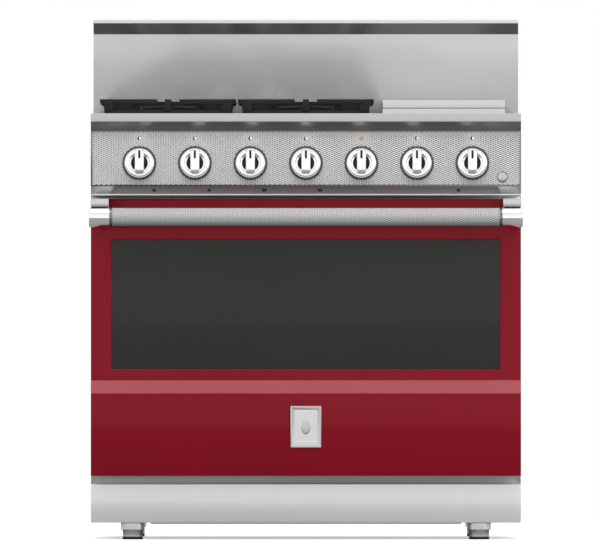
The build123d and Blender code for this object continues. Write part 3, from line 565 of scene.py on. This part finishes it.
# ---------------- formed sheet and castings ----------------
# Each node's edge width in mm and its finish.
FORMED = {
    "backguard": (0.7, "guard"), "front_rail": (0.7, "rail"), "lower_trim": (0.6, "trim"),
    # The control panel sheet takes the ground finish: painted shade between its bumps.
    "control_panel": (0.5, "ground"), "kick_panel": (0.6, "kick"), "side_panels": (0.4, "side"),
    "rear_panel": (0.3, "zinc"), "base_frame": (0.4, "zinc"), "cooktop_pan": (0.5, "satin"),
    "griddle_frame": (0.8, "satin"), "griddle_plate": (1.2, "plate"), "grease_tray": (0.6, "satin"),
    "door_skin": (0.7, "enamel"), "door_inner_panel": (0.4, "oven"), "door_window": (0.6, "glass"),
    "front_frame": (0.3, "side"), "oven_liner": (0.5, "oven"), "door_gasket": (1.5, "seal"),
    "convection_baffle": (0.5, "oven"), "fan_motor": (2.0, "zinc"), "leg_sockets": (0.8, "zinc"),
    "control_valves": (1.0, "brass"), "door_hinges": (0.8, "zinc"), "fan_blade": (0.3, "zinc"),
    "burner_caps": (1.6, "iron"), "burner_bases": (0.8, "satin"), "inner_glass": (0.5, "glass"),
}
for formed_node, (edge_width, finish) in FORMED.items():
    softened(formed_node, edge_width, finish)

KEPT = {
    "gas_manifold": "pipe", "bake_burner": "satin", "broil_burner": "satin", "griddle_burner": "satin",
    "oven_rack_lower": "chrome", "oven_rack_upper": "chrome", "rack_guides": "chrome",
}
KEPT.update({f"valve_stem_{k}": "brass" for k in (1, 2, 3, 4, 7)})
for kept_node, finish in KEPT.items():
    painted(frame["nodes"][kept_node], finish)


# ---------------- knobs, beads and button ----------------
# Profiles are (radius, height) pairs in mm.
SKIRT = [(29.5, 0), (31.1, 1.2), (31.2, 6.4), (30.6, 7.0), (29.8, 7.0), (29.2, 8.2), (28.2, 8.6),
         (23.4, 8.9), (22.0, 8.4), (21.2, 6.9), (17.8, 6.2), (17.3, 5.2), (1.0, 5.2)]
WELL = [(17.6, 4.6), (17.6, 6.0), (17.0, 6.25), (1.0, 6.25)]
GRIP_LOW, GRIP_HIGH = -21.0, 28.0


def knob_pattern():
    """One knob about Z with its top to +Y: skirt, black well, grip bar and pointer."""
    skirt = turned("skirt", SKIRT, 72)
    well = turned("well", WELL, 48, "black")
    grip = block("grip", (-11.2, GRIP_LOW, 4.5), (11.2, GRIP_HIGH, 31.8), 1.6, (0.8, 0.93), segments=3)
    heel = block("heel", (-8.6, GRIP_LOW - 3, 5), (8.6, GRIP_LOW + 12, 18), 2.0, (0.8, 0.8), segments=3)
    pointer = block("pointer", (-2.3, 9.6, 29.0), (2.3, 26.2, 31.98), 0.3, (1, 1), "black")
    return joined("knob_pattern", [pointer, heel, grip, well, skirt])


BEZEL = [(35.0, 0), (36.1, 0.6), (36.1, 2.2), (34.6, 2.9), (30.0, 2.9), (1.0, 2.9)]


def bezel_pattern():
    """Scalloped ring about Z."""
    ring = turned("bezel_pattern", BEZEL, 96, "ring")
    return notched(ring, lambda radius, height, wave: radius > 30.5 and wave < -0.3, 0.965)


knob_master = facing_front(knob_pattern(), 0, KNOB_BACK, KNOB_Z)
bezel_master = facing_front(bezel_pattern(), 0, PANEL_FACE, KNOB_Z)
bezels = []
for number, x in enumerate(KNOB_X, 1):
    fitted(copy_at(knob_master, f"knob_{number}_turned", x, 0, 0), f"knob_{number}")
    bezels.append(copy_at(bezel_master, f"bezel_{number}", x, 0, 0))
fitted(joined("bezel_rings", bezels), "knob_bezels")
bpy.data.objects.remove(knob_master)
bpy.data.objects.remove(bezel_master)

BEAD = [(3.8, 0), (4.0, 0.5), (3.8, 1.4), (3.1, 2.2), (1.9, 2.75), (0.4, 2.95)]
OVEN_BEAD = 5
bead_low, bead_high = low_high("indicator_beads")
bead_z = (bead_low.z + bead_high.z) / 2
beads = []
for number, x in enumerate(KNOB_X, 1):
    lens = turned(f"bead_{number}", BEAD, 24, "amber" if number == OVEN_BEAD else "bead")
    beads.append(facing_front(lens, x, PANEL_FACE, bead_z))
fitted(joined("bead_lenses", beads), "indicator_beads")

button_low, button_high = low_high("light_button")
button_middle = (button_low + button_high) / 2
BUTTON = [(10.0, 0), (10.2, 1), (10.2, 13.6), (9.6, 14.6), (8.4, 15.0), (1.0, 15.0)]
# A thin black ring round the button is painted shade for the gap between button and panel.
BUTTON_GAP_SHADE = [(11.7, 0), (11.7, 0.6), (11.3, 1.0), (10.8, 0.8), (10.7, 0)]
button = turned("button_face", BUTTON, material="plate")
fitted(facing_front(button, button_middle.x, button_high.y, button_middle.z), "light_button")
# The black ring here is painted shade in the gap round the button.
button_gap_shade = turned("button_gap_shade", BUTTON_GAP_SHADE, material="black")
added(facing_front(button_gap_shade, button_middle.x, PANEL_FACE, button_middle.z), "control_panel")


# ---------------- embossed bumps ----------------
BUMP_LENGTH, BUMP_WIDTH, BUMP_RISE = 9.2, 3.4, 0.95
BUMP_PITCH, BUMP_ROW = 10.5, 4.26
BUMP_SMOOTH = 60


def bump_pattern(name):
    """One pointed oval bump about Z, its long way along X."""
    clear()
    bpy.ops.mesh.primitive_circle_add(vertices=8, radius=0.5, fill_type="NGON")
    bump = bpy.context.object
    bump.name = name
    bump.scale = (BUMP_LENGTH * MM, BUMP_WIDTH * MM, 1)
    settle(bump)
    rise = {"value": (0, 0, BUMP_RISE * MM)}
    edit(bump, lambda: bpy.ops.mesh.extrude_region_move(TRANSFORM_OT_translate=rise),
         drawn_in(0.5, 0.4), outward)
    return painted(bump, "bump")


def panel_bumps():
    """Two fields of bumps over the control panel, half a step apart."""
    low, high = PANEL_LOW, PANEL_HIGH
    columns = int((high.x - low.x) / BUMP_PITCH)
    rows = int((high.z - low.z - BUMP_WIDTH - BUMP_ROW / 2) / BUMP_ROW)
    fields = []
    for shift in (0, 1):
        field = facing_front(bump_pattern("panel_bumps"), 0, 0, 0)
        repeated(field, columns, (BUMP_PITCH * MM, 0, 0))
        repeated(field, rows, (0, 0, BUMP_ROW * MM))
        width, height = (columns - 1) * BUMP_PITCH, (rows - 1) * BUMP_ROW
        x = (low.x + high.x - width) / 2 + (shift - 0.5) * BUMP_PITCH / 2
        z = (low.z + high.z - height) / 2 + (shift - 0.5) * BUMP_ROW / 2
        field.location = Vector((x, PANEL_FACE + 0.02, z)) * MM
        fields.append(settle(field))
    return joined("panel_bumps", fields)


added(smooth(panel_bumps(), BUMP_SMOOTH), "control_panel")


# ---------------- door handle ----------------
tube_low, tube_high = low_high("handle_tube")
tube_middle = (tube_low + tube_high) / 2
TUBE_R = (tube_high.z - tube_low.z) / 2 - 0.7
ROUND_COUNT = 28


def tube_bumps():
    """Rings of bumps round the bar, every second ring turned half a step."""
    rings = int((tube_high.x - tube_low.x - BUMP_LENGTH) / BUMP_PITCH)
    fields = []
    for shift in (0, 1):
        ring = bump_pattern("tube_bumps")
        ring.location = (0, 0, TUBE_R * MM)
        settle(ring)
        step = 2 * math.pi / ROUND_COUNT
        copies = [ring]
        for k in range(1, ROUND_COUNT):
            turned_copy = copy_at(ring, "tube_bump", 0, 0, 0)
            turned_copy.rotation_euler = (k * step + shift * step / 2, 0, 0)
            copies.append(settle(turned_copy))
        ring = joined("tube_bumps", copies)
        repeated(ring, rings, (BUMP_PITCH * MM, 0, 0))
        start = tube_middle.x - (rings - 1) * BUMP_PITCH / 2 + (shift - 0.5) * BUMP_PITCH / 2
        ring.location = Vector((start, tube_middle.y, tube_middle.z)) * MM
        fields.append(settle(ring))
    return painted(joined("tube_bumps", fields), "bar")


reach = (tube_high.x - tube_low.x) / 2
# The bar under the bumps takes the ground finish: painted shade between the bumps.
bar = turned("handle_bar", [(TUBE_R, -reach), (TUBE_R, 0), (TUBE_R, reach)], 72, "ground")
bar.rotation_euler = (0, math.pi / 2, 0)
bar.location = tube_middle * MM
fitted(settle(bar), "handle_tube")
added(smooth(tube_bumps(), BUMP_SMOOTH), "handle_tube")

END_R, END_LENGTH = 21.5, 44.1
END_CAP = [(19.9, 0), (21.2, 0.7), (END_R, 2), (END_R, END_LENGTH - 2), (20.6, END_LENGTH - 0.5),
           (18.5, END_LENGTH), (1.0, END_LENGTH)]
BRACKET_INNER, BRACKET_OUTER = 417.1, 455.5
door_low, door_high = low_high("door_skin")
upper_z = tube_middle.z + END_R + 0.4
handle_pieces = []
for side in (-1, 1):
    cap = turned(f"handle_cap_{side + 1}", END_CAP, 72)
    cap.rotation_euler = (0, side * math.pi / 2, 0)
    cap.location = Vector((tube_middle.x + side * reach, tube_middle.y, tube_middle.z)) * MM
    handle_pieces.append(settle(cap))
    x0, x1 = sorted((side * BRACKET_INNER, side * BRACKET_OUTER))
    handle_pieces.append(block(f"handle_block_{side + 1}", (x0, tube_middle.y - 10.7, upper_z),
                               (x1, door_low.y + 20, door_high.z), 1.2, material="satin"))
    handle_pieces.append(block(f"handle_neck_{side + 1}", (x0 + 2, tube_middle.y - 8, upper_z - 4),
                               (x1 - 2, tube_middle.y + 12, upper_z + 1), 0.3, material="black"))
fitted(joined("handle_end_caps", handle_pieces), "handle_ends")


# ---------------- badge ----------------
badge_low, badge_high = low_high("badge")
badge_middle = (badge_low + badge_high) / 2
BADGE_RIM = 7.5


def badge_rim():
    """Bevelled picture-frame rim, its inside drawn down to the plate."""
    size = badge_high - badge_low
    rim = block("badge_rim", (-size.x / 2, -size.z / 2, 0), (size.x / 2, size.z / 2, size.y),
                material="satin")
    edit(rim, top_only, inset(1.6), inset(BADGE_RIM - 3.0, -0.5), inset(1.4, -1.0))
    return rounded(rim, 0.35)


def badge_plate():
    """Plain plate with a raised border line and a plain oval boss."""
    tuck, line = 0.6, 0.5
    half = (badge_high - badge_low) / 2
    x, z = half.x - BADGE_RIM + tuck, half.z - BADGE_RIM + tuck
    plate = block("badge_plate", (-x, -z, 0.4), (x, z, 1.55), material="white")
    edit(plate, top_only, inset(4), inset(line, 0.35), inset(line), inset(line, -0.35))
    boss = turned("badge_boss", [(10, 1.4), (10, 1.7), (9, 2.1), (7, 2.3), (1, 2.35)], 48, "satin")
    boss.scale = (1.0, 1.6, 1.0)
    return joined("badge_plate", [settle(boss), plate])


badge_piece = joined("badge_plain", [badge_plate(), badge_rim()])
fitted(facing_front(badge_piece, badge_middle.x, badge_high.y, badge_middle.z), "badge")


# ---------------- screws ----------------
SCREW = [(3.9, -0.4), (4.0, 0.3), (3.4, 0.9), (2.0, 1.2), (0.5, 1.25)]
SCREW_GRID = 20             # coarse steps in mm that tell one screw's points from another's


def screw_heads():
    """Domed heads with a bright cross, square to the slanted trim."""
    low, high = low_high("trim_screws")
    node_xs = [vertex.co.x / MM for vertex in frame["nodes"]["trim_screws"].data.vertices]
    heads = []
    for mark in sorted({round(x / SCREW_GRID) for x in node_xs}):
        xs = [x for x in node_xs if abs(x - mark * SCREW_GRID) < 0.6 * SCREW_GRID]
        x = (min(xs) + max(xs)) / 2
        head = turned("screw_head", SCREW, 32, "black")
        for long_x, long_y in ((4.2, 0.9), (0.9, 4.2)):
            cross = block("cross", (-long_x / 2, -long_y / 2, 1.0), (long_x / 2, long_y / 2, 1.32), 0.1)
            head = joined("screw_head", [cross, head])
        head.rotation_euler = (math.radians(135), 0, 0)
        head.location = Vector((x, (low.y + high.y) / 2, (low.z + high.z) / 2)) * MM
        heads.append(settle(head))
    return joined("screw_heads", heads)


fitted(screw_heads(), "trim_screws")


# ---------------- legs ----------------
PAD = [(20.8, 0), (21.4, 0.8), (21.4, 5.5)]
SHANK = [(20.6, 5.5), (21.5, 6.4), (21.5, 19.0), (22.3, 20.2), (25.2, 20.4), (25.8, 21.2), (25.8, 34.4),
         (24.8, 35.3), (6.2, 35.3), (6.0, 36.0), (6.0, 89.0), (5.0, 90.3), (0.5, 90.3)]
for end in ("front", "rear"):
    for hand in ("left", "right"):
        name = f"leg_{end}_{hand}"
        low, high = low_high(name)
        pad = turned("pad", PAD, material="rubber")
        shank = turned("shank", SHANK, material="turned")
        whole = joined(name + "_turned", [pad, shank])
        whole.location = Vector(((low.x + high.x) / 2, (low.y + high.y) / 2, 0)) * MM
        fitted(settle(whole), name)


# ---------------- burner heads ----------------
CROWN_R = 45.0


def burner_crowns():
    """Brass crowns with a flame slot at every port."""
    low, high = low_high("burner_heads")
    height = high.z - low.z
    profile = [(40.0, 0), (44.4, 1.0), (CROWN_R, 2.5), (43.8, height - 1), (42.8, height),
               (36.0, height), (1.0, height)]
    crowns = []
    for x in (low.x + CROWN_R, high.x - CROWN_R):
        for y in (low.y + CROWN_R, high.y - CROWN_R):
            crown = turned("crown", profile, 96, "brass", 25)
            notched(crown, lambda radius, up, wave: radius > 41.5 and up > 2 and wave > 0.9, 0.94)
            crown.location = Vector((x, y, low.z)) * MM
            crowns.append(settle(crown))
    return joined("burner_crowns", crowns)


fitted(burner_crowns(), "burner_heads")


# ---------------- cast grates ----------------
RAIL_TOP = low_high("front_rail")[1].z
POST_WIDTH, POST_DEPTH, POST_BASE = 21.2, 18.0, RAIL_TOP + 2
FOOT_INSET = 21.0           # from the grate's sides to the middle of its posts
LOW_BAR = (RAIL_TOP + 0.5, RAIL_TOP + 6.5)
FINGER_DEPTH = 11.5
BURNER_EYE = 31.0           # from a burner's middle to the tips of its fingers
SHORT_FINGER_TIP = 26.0
ARM_TIP = 23.0
BRACE_AT = 60.0             # from a burner's middle to the braces in front and behind


def bar_between(name, start, end, width, low, high, drop=0.0):
    """A cast bar along X or Y, drawn in towards its top, its free end cut back below."""
    (xa, ya), (xb, yb) = start, end
    half = width / 2
    along_x = abs(xb - xa) > abs(yb - ya)
    a = (min(xa, xb) - (0 if along_x else half), min(ya, yb) - (half if along_x else 0), low)
    b = (max(xa, xb) + (0 if along_x else half), max(ya, yb) + (half if along_x else 0), high)
    middle = Vector(((a[0] + b[0]) / 2, (a[1] + b[1]) / 2, 0)) * MM
    tip = Vector((xb, yb, 0)) * MM
    run = Vector((xb - xa, yb - ya, 0)).normalized()

    def taper(vertex):
        side = vertex.co.xy.to_3d() - middle
        across = side - run * side.dot(run)
        if vertex.co.z > (low + high) / 2 * MM:
            vertex.co -= across * 0.3
        elif (vertex.co.xy.to_3d() - tip).dot(run) > -0.1 * MM:
            vertex.co -= run * drop * MM

    return rounded(edit(block(name, a, b, material="iron"), each_point(taper)), 0.9)


def flared_post(x, y, out_x, seat, top):
    """Corner post: straight foot, then a curve out to the top corner."""
    half, deep = POST_WIDTH / 2, POST_DEPTH / 2
    foot = block("foot", (x - half - 0.4, y - deep, seat), (x + half + 0.4, y + deep, RAIL_TOP + 8), 1.2,
                 (0.96, 0.95), "iron")
    post = block("post", (x - half, y - deep, POST_BASE), (x + half, y + deep, top), material="iron")
    lean = (out_x - x - math.copysign(half, out_x - x)) * MM

    def flare(vertex):
        vertex.co.x += lean * ((vertex.co.z / MM - POST_BASE) / (top - POST_BASE)) ** 2.5

    edit(post, lambda: bpy.ops.mesh.subdivide(number_cuts=5), each_point(flare))
    return [foot, rounded(post, 1.2)]


def cast_grate(node):
    """Posts, low bars, a middle web, and fingers that point at each burner."""
    low, high = low_high(node)
    x0, x1, y0, y1, top = low.x, high.x, low.y, high.y, high.z
    cx, cy = (x0 + x1) / 2, (y0 + y1) / 2
    quarter = (y1 - y0) / 4
    finger_low = top - FINGER_DEPTH
    pieces = []

    def bar(name, start, end, width, depth, cut_back=0.0):
        pieces.append(bar_between(name, start, end, width, *depth, cut_back))

    for x, out in ((x0 + FOOT_INSET, x0 + 1), (x1 - FOOT_INSET, x1 - 1)):
        for y in (y0 + 11, cy, y1 - 11):
            pieces.extend(flared_post(x, y, out, low.z, top))
    web0, web1 = x0 + FOOT_INSET - 3, x1 - FOOT_INSET + 3
    bar("web", (web0, cy), (web1, cy), 7, (LOW_BAR[0], finger_low + 3.5))
    for y in (y0 + 7, cy, y1 - 7):
        bar("rail", (web0, y), (web1, y), 9, LOW_BAR)
    for x, out in ((x0 + FOOT_INSET, x0 + 4.5), (x1 - FOOT_INSET, x1 - 4.5)):
        bar("rail", (x, y0 + 4), (x, y1 - 4), 9, LOW_BAR)
        bar("edge", (out, y0 + 2), (out, y1 - 2), 7.6, (finger_low + 3, top))
    for y in (y0 + 6, cy, y1 - 6):
        for side, edge in ((-1, x0 + 1), (1, x1 - 1)):
            bar("arm", (edge, y), (cx + side * ARM_TIP, y), 8, (finger_low + 3, top), 4)
        pieces.append(block("stub", (cx - 8, y - 4.5, RAIL_TOP + 4), (cx + 8, y + 4.5, top), 1.0,
                            (0.78, 0.9), "iron"))
    for y in (cy - quarter, cy + quarter):
        for side, edge in ((-1, x0 + 2), (1, x1 - 2)):
            bar("finger", (edge, y), (cx + side * BURNER_EYE, y), 8, (finger_low, top), 7)
            start, tip = y + side * (quarter - 3), y + side * BURNER_EYE
            bar("finger", (cx, start), (cx, tip), 8, (finger_low, top), 7)
            for x in ((x0 + cx) / 2, (cx + x1) / 2):
                start, tip = y + side * (quarter - 2), y + side * SHORT_FINGER_TIP
                bar("finger", (x, start), (x, tip), 7.5, (finger_low + 1, top), 6)
                brace = y + side * BRACE_AT
                bar("brace", (x, brace), (cx, brace), 7, (finger_low + 1, finger_low + 7))
    return fitted(joined(node + "_cast", pieces), node)


cast_grate("grate_left")
cast_grate("grate_right")


# ---------------- floor, light and camera ----------------
def floor():
    """A pale floor that throws little light up but looks nearly white to the camera."""
    clear()
    bpy.ops.mesh.primitive_plane_add(size=8, location=(0, 0, 0))
    ground = bpy.context.object
    ground.name = "floor"
    pale = Finish("pale_floor", grey(0.9), 0.9)
    seen = pale.node("ShaderNodeLightPath", out="Is Camera Ray")
    pale.set("Base Color", pale.mix(seen, (*grey(0.32), 1), (*grey(0.98), 1)))
    pale.set("Emission Color", (1, 1, 1, 1))
    pale.set("Emission Strength", 0.5 * seen)
    ground.data.materials.append(pale.material)


def softbox(name, place, target, size, watts):
    light = bpy.data.lights.new(name, "AREA")
    light.shape = "RECTANGLE"
    light.size, light.size_y = size
    light.energy = watts
    holder = bpy.data.objects.new(name, light)
    bpy.context.scene.collection.objects.link(holder)
    holder.location = place
    holder.rotation_euler = (Vector(target) - Vector(place)).to_track_quat("-Z", "Y").to_euler()


def surroundings(level, overhead):
    """A pale room, dimmer overhead, that the camera sees as plain white."""
    world = bpy.data.worlds.new("pale_room")
    world.use_nodes = True
    tree = world.node_tree
    background = tree.nodes["Background"]
    background.inputs["Color"].default_value = (1, 1, 1, 1)
    seen = Wire(tree, tree.nodes.new("ShaderNodeLightPath").outputs["Is Camera Ray"])
    parts = tree.nodes.new("ShaderNodeSeparateXYZ")
    tree.links.new(tree.nodes.new("ShaderNodeTexCoord").outputs["Generated"], parts.inputs[0])
    room = level + (overhead - level) * Wire(tree, parts.outputs[2])
    feed(tree, background.inputs["Strength"], room + (1.0 - room) * seen)
    bpy.context.scene.world = world


def camera():
    """Square on to the front, from far away, so that depth hardly shows."""
    lens, sensor, seen_width = 1400.0, 36.0, 1.2786
    view = bpy.data.cameras.new("front_view")
    view.lens, view.sensor_width = lens, sensor
    distance = seen_width * lens / sensor
    view.clip_start, view.clip_end = distance / 10, 2 * distance
    holder = bpy.data.objects.new("front_view", view)
    bpy.context.scene.collection.objects.link(holder)
    holder.location = (-0.0125, -distance, 0.5594)
    holder.rotation_euler = (math.pi / 2, 0, 0)
    bpy.context.scene.camera = holder


floor()
surroundings(1.15, 0.85)
softbox("overhead_softbox", (0, -0.9, 3.4), (0, -0.3, 0.6), (3.4, 2.2), 30)
softbox("side_softbox", (3.4, -2.2, 1.6), (0, 0, 0.7), (1.2, 2.4), 12)
camera()
bpy.context.scene.view_settings.view_transform = "Standard"
